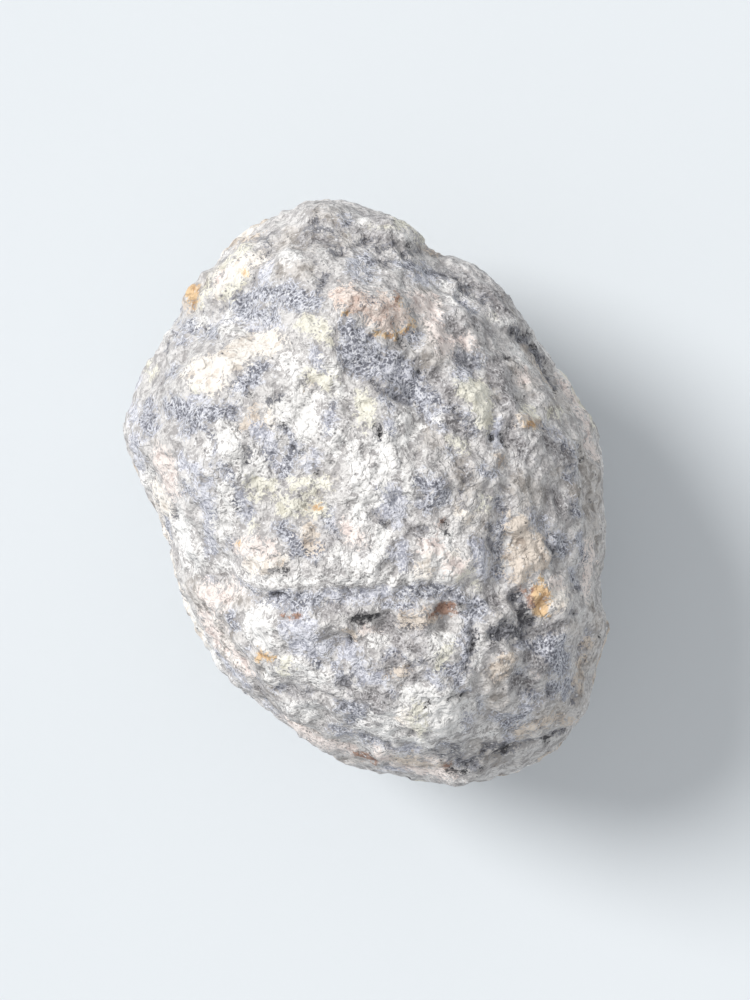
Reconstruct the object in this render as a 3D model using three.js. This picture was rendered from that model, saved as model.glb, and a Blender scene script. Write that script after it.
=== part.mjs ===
// A whole, unopened geode: one lumpy stone nodule a little larger than a hen's egg.
// It lies on its side on a small worn flat. Its rind has a capped end, a scarp across the
// middle with slots under it, a deep hollow, a shallow bowl and many low mounds.
// Units are millimetres, +Z is up, and the long axis lies along +Y.

import * as THREE from 'three';
import { ImprovedNoise } from 'three/addons/math/ImprovedNoise.js';
import { mergeVertices } from 'three/addons/utils/BufferGeometryUtils.js';

// Driving dimensions. The body's section is an ellipse where FULLNESS is 2, and squarer above.
const RISE_ABOVE_WAIST = 21.2;
const DROP_BELOW_WAIST = 21.2;
const FLAT_CUT = 0.9;
const FULLNESS = 2.2;
const LONG_AXIS_LEAN = THREE.MathUtils.degToRad(18);
const SPHERE_DETAIL = 21;

// The waist, the stone's widest level line, seen from above in a view where the long axis
// leans to the left. It runs clockwise from the capped end.
const WAIST = [
  [-9.4, 29.7], [-6.0, 30.7], [-0.3, 29.9], [2.6, 28.8], [4.6, 26.9], [5.7, 25.6],
  [9.2, 23.3], [13.2, 20.5], [17.0, 15.6], [20.7, 10.2], [22.4, 6.6], [23.1, -0.5],
  [22.8, -8.0], [22.6, -11.0], [23.3, -13.4], [22.3, -18.0], [21.1, -22.9], [17.7, -26.0],
  [11.5, -28.6], [5.0, -29.2], [-2.4, -27.7], [-9.1, -23.8], [-15.8, -18.0], [-19.0, -12.2],
  [-21.0, -6.8], [-23.1, -0.2], [-24.4, 2.0], [-26.2, 6.2], [-25.6, 10.2], [-23.5, 14.8],
  [-20.2, 19.4], [-17.2, 22.9], [-14.2, 26.5],
];
const STEPS_PER_WAIST_POINT = 20;

// The stone's top, in the same view. A mound is [x, y, radius, height], and a hollow is a
// mound of negative height. Its middle is level, and it fades out past its radius.
const MOUND_CORE = 0.25;
const MOUND_FOOT = 1.25;
const TOP_MOUNDS = [
  [-5.0, 28.0, 4.5, 0.6], [1.6, 27.0, 3.6, 0.9],
  [-0.2, 19.2, 4.2, 0.8], [-20.5, 14.0, 5.0, 0.5],
  [-16.5, 11.5, 4.5, 0.7], [-24.6, 8.0, 3.5, 0.4],
  [-0.3, 3.4, 5.5, 0.6], [-16.5, -1.5, 5.0, 0.6],
  [7.4, -6.4, 4.2, 1.0], [0.6, -6.6, 4.2, 0.8],
  [-12.0, -6.2, 4.5, 0.6], [-8.4, -14.6, 4.2, 0.7],
  [3.4, -20.6, 4.8, 0.9], [15.8, -19.6, 4.6, 0.7],
  [-2.0, -17.8, 3.4, 0.6], [19.4, -3.0, 4.8, 0.5],
  [10.0, 10.5, 5.5, 0.6], [9.4, 19.0, 4.2, 0.5],
  [23.6, -13.8, 2.3, 0.5], [-19.0, -12.2, 2.4, 0.3],
  [-9.1, 4.6, 4.8, -1.1], [14.4, -13.0, 3.5, -1.5],
  [11.8, -14.0, 2.6, -0.7], [2.4, -17.4, 1.9, -0.6],
  [17.4, 13.4, 2.0, -0.6], [18.6, 10.9, 1.8, -0.5],
  [4.0, 9.8, 3.6, -0.6], [-24.0, 2.4, 2.2, -0.4],
  [-6.4, -21.4, 2.4, -0.5], [12.8, 6.2, 1.8, -0.5],
];

// A seam is a line of points with the width and the height of its section. Ridges stand
// up, and grooves, slots and cracks have a negative height.
const TOP_SEAMS = [
  { line: [[-19.4, 20.4], [-15.4, 22.8], [-12.0, 25.4]], width: 2.9, height: 1.0 },
  { line: [[-10.2, 25.4], [-13.2, 20.9], [-18.0, 17.8]], width: 1.5, height: -0.6 },
  { line: [[6.2, 24.6], [2.3, 25.0], [-2.2, 25.6], [-5.4, 26.4]], width: 1.3, height: -0.9 },
  { line: [[6.9, 24.4], [11.5, 21.4], [15.8, 16.6]], width: 1.4, height: 0.3 },
  { line: [[5.3, 22.4], [9.7, 19.6], [13.8, 14.8]], width: 1.4, height: -0.5 },
  { line: [[-3.6, 20.5], [-1.7, 20.1], [0.2, 20.6]], width: 1.1, height: -0.8 },
  { line: [[-4.2, 3.2], [-5.4, -0.2], [-6.8, -5.2]], width: 2.0, height: -1.0 },
  { line: [[15.0, -2.4], [15.6, -6.0], [17.0, -9.4]], width: 2.4, height: 0.6 },
  { line: [[12.7, -2.0], [12.2, -6.0], [11.6, -9.8]], width: 1.6, height: -0.6 },
  { line: [[-3.9, -13.7], [-1.6, -12.9], [1.0, -12.9]], width: 1.3, height: -1.3 },
  { line: [[1.0, -12.9], [4.0, -12.6], [6.4, -11.9]], width: 1.5, height: -0.6 },
  { line: [[6.4, -11.9], [9.0, -11.2]], width: 1.2, height: -1.1 },
  { line: [[10.4, -13.0], [9.8, -16.3], [8.4, -20.4]], width: 1.6, height: -0.6 },
  { line: [[-10.6, -21.6], [-5.6, -24.3], [0.4, -26.4], [5.0, -27.2]], width: 1.3, height: -0.7 },
  { line: [[20.4, -8.0], [21.4, -14.0], [20.2, -21.0]], width: 1.4, height: -0.6 },
  { line: [[-22.6, 12.6], [-17.6, 15.4], [-11.0, 17.0]], width: 1.5, height: -0.5 },
];

// A scarp drops from the left of its line, as one walks along it, to the right. Its slope is
// twice edge wide.
const TOP_SCARPS = [
  {
    line: [[10.8, -10.4], [7.9, -10.0], [2.6, -10.7], [-2.9, -11.2], [-8.0, -10.9], [-15.0, -10.2]],
    drop: 1.9,
    edge: 1.7,
  },
  { line: [[-13.4, 2.6], [-14.2, 6.2], [-12.4, 9.3], [-9.0, 10.8]], drop: 0.9, edge: 0.7 },
  { line: [[-2.8, 16.8], [0.8, 16.0], [3.4, 16.8], [4.4, 19.6]], drop: 0.6, edge: 0.8 },
];
const SCARP_REACH = 4.4;

// The hidden sides and underside have scattered mounds and hollows of like size.
const HIDDEN_BELOW = -3.5;
const SCATTERED = 120;
const SCATTER_SEED = 20.3;
const SCATTER_WANDER = 0.5;
const SCATTER_RADIUS = 3.4;
const SCATTER_RADIUS_SPREAD = 2.2;
const SCATTER_HEIGHT = 1.5;

// Swells and rounded lumps all over, from coarse to fine: wavelength and height. They are
// lower at the waist, whose outline is drawn above.
const SWELLS = [[14, 1.6], [7.5, 1.0]];
const LUMPS = [[5.6, 0.8], [3.4, 0.4]];
const LUMP_SEED = 2.91;
const SHARE_AT_WAIST = 0.45;
const FOLDED_MEAN = 0.5;
const WAIST_BAND = 7;

const noise = new ImprovedNoise();
const NOISE_STEP = 0.73;

function smoothstep(from, to, value) {
  return THREE.MathUtils.smoothstep(value, from, to);
}

// The waist as a table of angle and radius, read from the closed curve through its points.
function waistTable() {
  const points = WAIST.map(([x, y]) => new THREE.Vector3(x, y, 0));
  const curve = new THREE.CatmullRomCurve3(points, true, 'centripetal');
  const steps = STEPS_PER_WAIST_POINT * WAIST.length;
  return curve.getPoints(steps)
    .slice(0, steps)
    .map(({ x, y }) => ({ angle: Math.atan2(y, x), radius: Math.hypot(x, y) }))
    .sort((low, high) => low.angle - high.angle);
}

const waist = waistTable();

function waistRadius(angle) {
  const after = waist.findIndex((entry) => entry.angle > angle);
  const high = waist[after < 0 ? 0 : after];
  const low = waist[after <= 0 ? waist.length - 1 : after - 1];
  const turn = 2 * Math.PI;
  const gap = (high.angle - low.angle + turn) % turn;
  const share = gap > 0 ? ((angle - low.angle + turn) % turn) / gap : 0;
  return THREE.MathUtils.lerp(low.radius, high.radius, share);
}

// The plain body: a rounded, slightly squared dome over and under the waist.
function bodyPoint(direction) {
  const level = Math.hypot(direction.x, direction.y);
  const radius = waistRadius(Math.atan2(direction.y, direction.x));
  const height = direction.z > 0 ? RISE_ABOVE_WAIST : DROP_BELOW_WAIST;
  const sum = (level / radius) ** FULLNESS + (Math.abs(direction.z) / height) ** FULLNESS;
  return direction.clone().multiplyScalar(sum ** (-1 / FULLNESS));
}

// The point of the body's top straight above a place in the view. A place at the waist
// or past it is drawn in to the waist.
function topPoint([x, y]) {
  const angle = Math.atan2(y, x);
  const radius = waistRadius(angle);
  const level = Math.min(radius, Math.hypot(x, y));
  const z = RISE_ABOVE_WAIST * (1 - (level / radius) ** FULLNESS) ** (1 / FULLNESS);
  return new THREE.Vector3(level * Math.cos(angle), level * Math.sin(angle), z);
}

function moundHeight(point, mound) {
  const share = point.distanceTo(mound.centre) / mound.radius;
  return mound.height * (1 - smoothstep(MOUND_CORE, MOUND_FOOT, share));
}

// The nearest point of a line on the surface: its distance, and how far to the line's
// left the point lies.
function measureLine(point, line) {
  let distance = Infinity;
  let left = 0;
  const nearest = new THREE.Vector3();
  for (let i = 0; i + 1 < line.length; i += 1) {
    const span = new THREE.Line3(line[i], line[i + 1]);
    span.closestPointToPoint(point, true, nearest);
    const away = nearest.distanceTo(point);
    if (away < distance) {
      distance = away;
      const along = span.delta(new THREE.Vector3()).normalize();
      const offset = point.clone().sub(nearest);
      left = along.cross(offset).dot(nearest) > 0 ? away : -away;
    }
  }
  return { distance, left };
}

function seamHeight(point, seam) {
  const { distance } = measureLine(point, seam.line);
  return seam.height * Math.exp(-((distance / seam.width) ** 2));
}

function scarpHeight(point, scarp) {
  const { distance, left } = measureLine(point, scarp.line);
  const fade = Math.exp(-((distance / SCARP_REACH) ** 2));
  return scarp.drop * fade * (smoothstep(-scarp.edge, scarp.edge, left) - 0.5);
}

function noiseAt(point, wavelength) {
  const p = point.clone().divideScalar(wavelength).addScalar(LUMP_SEED * wavelength);
  return noise.noise(p.x, p.y, p.z);
}

// Swells are plain noise. Lumps are folded noise: rounded, with narrow valleys between.
function lumpHeight(point) {
  const share = THREE.MathUtils.lerp(
    SHARE_AT_WAIST, 1, smoothstep(0, WAIST_BAND, Math.abs(point.z)),
  );
  const swell = SWELLS.reduce((sum, [wavelength, height]) => (
    sum + height * noiseAt(point, wavelength)
  ), 0);
  const lump = LUMPS.reduce((sum, [wavelength, height]) => (
    sum + height * (2 * Math.abs(noiseAt(point, wavelength)) - FOLDED_MEAN)
  ), 0);
  return share * (swell + lump);
}

// Mounds spread evenly over the hidden part of the stone, on a spiral with uneven steps.
function scatteredMounds() {
  const goldenAngle = Math.PI * (3 - Math.sqrt(5));
  const mounds = [];
  for (let i = 0; i < SCATTERED; i += 1) {
    const chance = (choice) => noise.noise(i * NOISE_STEP, SCATTER_SEED, choice * NOISE_STEP);
    const height = 1 - 2 * (i + 0.5) / SCATTERED;
    const angle = i * goldenAngle + SCATTER_WANDER * chance(1);
    const level = Math.sqrt(1 - height * height);
    const direction = new THREE.Vector3(Math.cos(angle) * level, Math.sin(angle) * level, height);
    const centre = bodyPoint(direction);
    if (centre.z < HIDDEN_BELOW) {
      mounds.push({
        centre,
        radius: SCATTER_RADIUS + SCATTER_RADIUS_SPREAD * chance(2),
        height: SCATTER_HEIGHT * chance(3),
      });
    }
  }
  return mounds;
}

function onTop(features) {
  return features.map((feature) => ({ ...feature, line: feature.line.map(topPoint) }));
}

const mounds = TOP_MOUNDS
  .map(([x, y, radius, height]) => ({ centre: topPoint([x, y]), radius, height }))
  .concat(scatteredMounds());
const seams = onTop(TOP_SEAMS);
const scarps = onTop(TOP_SCARPS);

// The body's point for one direction, moved out or in by all the relief there.
function stonePoint(direction) {
  const body = bodyPoint(direction);
  const radius = waistRadius(Math.atan2(body.y, body.x));
  const outward = new THREE.Vector3(
    body.x / radius ** 2,
    body.y / radius ** 2,
    body.z / RISE_ABOVE_WAIST ** 2,
  ).normalize();
  const relief = lumpHeight(body)
    + mounds.reduce((sum, mound) => sum + moundHeight(body, mound), 0)
    + seams.reduce((sum, seam) => sum + seamHeight(body, seam), 0)
    + scarps.reduce((sum, scarp) => sum + scarpHeight(body, scarp), 0);
  return body.addScaledVector(outward, relief);
}

function geodeGeometry() {
  const sphere = new THREE.IcosahedronGeometry(1, SPHERE_DETAIL);
  sphere.deleteAttribute('normal');
  sphere.deleteAttribute('uv');
  const geometry = mergeVertices(sphere);
  const position = geometry.getAttribute('position');
  const flatLevel = FLAT_CUT - DROP_BELOW_WAIST;
  for (let i = 0; i < position.count; i += 1) {
    const direction = new THREE.Vector3().fromBufferAttribute(position, i).normalize();
    const point = stonePoint(direction);
    position.setXYZ(i, point.x, point.y, Math.max(point.z, flatLevel));
  }
  geometry.rotateZ(-LONG_AXIS_LEAN);
  geometry.computeBoundingBox();
  const { min, max } = geometry.boundingBox;
  geometry.translate(-(min.x + max.x) / 2, -(min.y + max.y) / 2, -min.z);
  geometry.computeVertexNormals();
  return geometry;
}

const rind = new THREE.MeshStandardMaterial({ color: 0xc2c0be, roughness: 0.9, metalness: 0 });
const stone = new THREE.Mesh(geodeGeometry(), rind);
stone.name = 'geode';

const geode = new THREE.Group();
geode.add(stone);

export default geode;
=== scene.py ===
"""A whole, unopened geode that lies on its side on a pale surface, seen from straight above."""

import math
import random

import bmesh
import bpy
import numpy as np
from mathutils import Matrix, Vector, noise


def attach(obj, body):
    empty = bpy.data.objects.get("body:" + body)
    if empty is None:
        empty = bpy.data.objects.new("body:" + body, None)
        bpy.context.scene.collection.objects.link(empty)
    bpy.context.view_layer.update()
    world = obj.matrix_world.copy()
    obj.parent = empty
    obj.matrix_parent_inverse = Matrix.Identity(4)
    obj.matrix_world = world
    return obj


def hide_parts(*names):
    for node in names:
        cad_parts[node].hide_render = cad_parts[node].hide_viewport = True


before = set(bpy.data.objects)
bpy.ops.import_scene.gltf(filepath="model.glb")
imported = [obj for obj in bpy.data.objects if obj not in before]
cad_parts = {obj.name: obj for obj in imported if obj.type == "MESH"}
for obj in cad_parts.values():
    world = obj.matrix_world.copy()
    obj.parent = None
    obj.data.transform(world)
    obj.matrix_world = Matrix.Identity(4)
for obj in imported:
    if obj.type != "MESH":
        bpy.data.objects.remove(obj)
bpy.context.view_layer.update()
MM = 0.001

# The view. It looks straight down on the stone, whose long axis leans to the left. Places on
# the stone's top are given further on as they appear in this view, in millimetres right of
# and above the picture's middle.
VIEW_LEAN = math.radians(18.4)
VIEW_AIM = (-0.5, -0.25)
VIEW_LEVEL = 22.0
VIEW_DISTANCE = 260.0
PIXELS_PER_MM = 9.645
PICTURE_HEIGHT = 1000
SENSOR_HEIGHT = 36.0

view_turn = Matrix.Rotation(-VIEW_LEAN, 4, "Z")
camera = bpy.data.objects.new("camera", bpy.data.cameras.new("camera"))
camera.data.sensor_width = SENSOR_HEIGHT
camera.data.lens = PIXELS_PER_MM * VIEW_DISTANCE * SENSOR_HEIGHT / PICTURE_HEIGHT
camera.location = view_turn @ Vector((*VIEW_AIM, VIEW_LEVEL + VIEW_DISTANCE)) * MM
camera.rotation_euler = (0, 0, -VIEW_LEAN)
bpy.context.scene.collection.objects.link(camera)
bpy.context.scene.camera = camera
bpy.context.scene.view_settings.view_transform = "Standard"

# The daylight. It falls softly from the left and above in the view, and a pale room fills
# the shadows.
DAYLIGHT_FROM = (-0.76, 0.38, 0.80)
DAYLIGHT_STRENGTH = 2.65
DAYLIGHT_SOFTNESS = math.radians(24)
DAYLIGHT_COLOUR = (1.0, 0.985, 0.965)
ROOM_COLOUR = (0.985, 0.99, 1.0)
ROOM_STRENGTH = 0.565

daylight = bpy.data.objects.new("daylight", bpy.data.lights.new("daylight", "SUN"))
daylight.data.energy = DAYLIGHT_STRENGTH
daylight.data.angle = DAYLIGHT_SOFTNESS
daylight.data.color = DAYLIGHT_COLOUR
daylight.rotation_euler = (view_turn @ Vector(DAYLIGHT_FROM)).to_track_quat("Z", "Y").to_euler()
bpy.context.scene.collection.objects.link(daylight)

room = bpy.data.worlds.new("room")
room.use_nodes = True
room.node_tree.nodes["Background"].inputs["Color"].default_value = (*ROOM_COLOUR, 1)
room.node_tree.nodes["Background"].inputs["Strength"].default_value = ROOM_STRENGTH
bpy.context.scene.world = room

# The surface under the stone. It is one smooth, pale sheet that reaches far beyond the view,
# with a faint cloudy tone.
FLOOR_HALF = 2.0
FLOOR_PALE = (0.75, 0.79, 0.825)
FLOOR_CLOUD = (0.72, 0.765, 0.80)
CLOUD_GRAIN = {"Scale": 14.0, "Detail": 2.0}
FLOOR_ROUGHNESS = 0.8
MIX_SOCKETS = {"FLOAT": (2, 0), "VECTOR": (4, 1), "RGBA": (6, 2)}


def plug(tree, socket, value):
    """Gives a socket its value, or another node's output to read."""
    if isinstance(value, bpy.types.NodeSocket):
        tree.links.new(value, socket)
    else:
        socket.default_value = (*value, 1) if socket.type == "RGBA" else value


def add_node(tree, kind, inputs=None, **settings):
    """One shader node with its settings and what its sockets are given."""
    made = tree.nodes.new(kind)
    for name, value in settings.items():
        setattr(made, name, value)
    for name, value in (inputs or {}).items():
        plug(tree, made.inputs[name], value)
    return made


def new_material(name):
    """An empty node material, its tree and its Principled shader."""
    material = bpy.data.materials.new(name)
    material.use_nodes = True
    return material, material.node_tree, material.node_tree.nodes["Principled BSDF"]


def add_mix(tree, kind, share, low, high, blend="MIX"):
    """A number, a place or a colour between two others."""
    first, result = MIX_SOCKETS[kind]
    made = add_node(tree, "ShaderNodeMix", data_type=kind, blend_type=blend)
    for index, value in zip((0, first, first + 1), (share, low, high)):
        plug(tree, made.inputs[index], value)
    return made.outputs[result]


floor_mesh = bmesh.new()
bmesh.ops.create_grid(floor_mesh, x_segments=1, y_segments=1, size=FLOOR_HALF)
floor = bpy.data.objects.new("floor", bpy.data.meshes.new("floor"))
floor_mesh.to_mesh(floor.data)
floor_mesh.free()
bpy.context.scene.collection.objects.link(floor)
floor_material, tree, shader = new_material("floor")
floor.data.materials.append(floor_material)
place = add_node(tree, "ShaderNodeTexCoord").outputs["Object"]
cloud = add_node(tree, "ShaderNodeTexNoise", {"Vector": place, **CLOUD_GRAIN}).outputs[0]
tone = add_mix(tree, "RGBA", cloud, FLOOR_CLOUD, FLOOR_PALE)
tree.links.new(tone, shader.inputs["Base Color"])
shader.inputs["Roughness"].default_value = FLOOR_ROUGHNESS

# The stone. It is one nodule of pale silica that grew in a hollow of the rock, and its rind
# is a weathered crust of chalky white, cream and blue-grey grains with small stains and pits.
# Its mesh is the solid's own surface, divided finely and roughened.

# The crust's minerals, in the order in which they lie over one another. Each has the colours of
# its grains and of the gaps between them, how much its grains form a net, how wide the gaps are,
# how far it stands proud of the rind, how crumbly and how gritty it is, and, where they differ
# from the rest, how pale the net's crests are and how ragged its edge is. The dark colour falls in
# the bump's low gaps and the light one on its raised grains, so they are partly the grains' own
# colours and partly painted shade and painted light; the pale crests are partly painted highlight.
MINERALS = {
    "sand": {
        "light": (0.68, 0.65, 0.625), "dark": (0.34, 0.315, 0.295), "net": 0.3, "gaps": 0.40,
        "proud": 0.05, "crumb": 0.16, "crest": 0.15, "grit": 0.45,
    },
    "slate": {
        "light": (0.645, 0.66, 0.73), "dark": (0.185, 0.19, 0.222), "net": 0.85, "gaps": 0.43,
        "proud": -0.10, "crumb": 0.14, "crest": 0.75, "grit": 1.1,
    },
    "lilac": {
        "light": (0.75, 0.76, 0.825), "dark": (0.36, 0.37, 0.43), "net": 0.6, "gaps": 0.40,
        "proud": 0.0, "crumb": 0.14, "crest": 0.5, "grit": 0.8,
    },
    "chalk": {
        "light": (0.93, 0.92, 0.905), "dark": (0.60, 0.595, 0.59), "net": 0.15, "gaps": 0.16,
        "proud": 0.14, "crumb": 0.24, "crest": 0.2, "grit": 0.35,
    },
    "cream": {
        "light": (0.93, 0.885, 0.825), "dark": (0.66, 0.59, 0.52), "net": 0.1, "gaps": 0.14,
        "proud": 0.26, "crumb": 0.18, "grit": 0.3,
    },
    "lemon": {
        "light": (0.86, 0.84, 0.745), "dark": (0.57, 0.545, 0.455), "net": 0.2, "gaps": 0.18,
        "proud": 0.06, "crumb": 0.18, "grit": 0.35,
    },
    "blush": {
        "light": (0.92, 0.84, 0.80), "dark": (0.62, 0.52, 0.49), "net": 0.2, "gaps": 0.18,
        "proud": 0.04, "crumb": 0.20, "grit": 0.4,
    },
    "smoke": {
        "light": (0.50, 0.485, 0.49), "dark": (0.19, 0.18, 0.185), "net": 0.6, "gaps": 0.42,
        "proud": -0.04, "crumb": 0.16, "crest": 0.3, "grit": 0.6,
    },
    "tan": {
        "light": (0.76, 0.68, 0.60), "dark": (0.40, 0.335, 0.285), "net": 0.2, "gaps": 0.24,
        "proud": 0.20, "crumb": 0.24, "grit": 0.5,
    },
    "coral": {
        "light": (0.95, 0.83, 0.755), "dark": (0.66, 0.50, 0.43), "net": 0.4, "gaps": 0.32,
        "proud": -0.06, "crumb": 0.26, "grit": 1.2,
    },
    "ochre": {
        "light": (0.83, 0.60, 0.36), "dark": (0.46, 0.27, 0.14), "net": 0.3, "gaps": 0.34,
        "proud": 0.06, "crumb": 0.20, "ragged": 0.5, "grit": 0.8,
    },
    "rust": {
        "light": (0.46, 0.30, 0.235), "dark": (0.15, 0.075, 0.055), "net": 0.5, "gaps": 0.42,
        "proud": -0.20, "crumb": 0.14, "ragged": 0.5, "grit": 0.8,
    },
    # The last two are dark marks sunk into the rind, in its folds, slots, hollows and pits. Their dark
    # is partly the crust's own and partly painted shade in those recesses.
    "soot": {
        "light": (0.36, 0.36, 0.39), "dark": (0.085, 0.085, 0.095), "net": 0.7, "gaps": 0.50,
        "proud": -0.30, "crumb": 0.12, "ragged": 0.8, "grit": 1.0,
    },
    "coal": {
        "light": (0.12, 0.118, 0.125), "dark": (0.026, 0.025, 0.028), "net": 0.7, "gaps": 0.50,
        "proud": -0.45, "crumb": 0.10, "ragged": 0.6, "grit": 0.9,
    },
}
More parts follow.
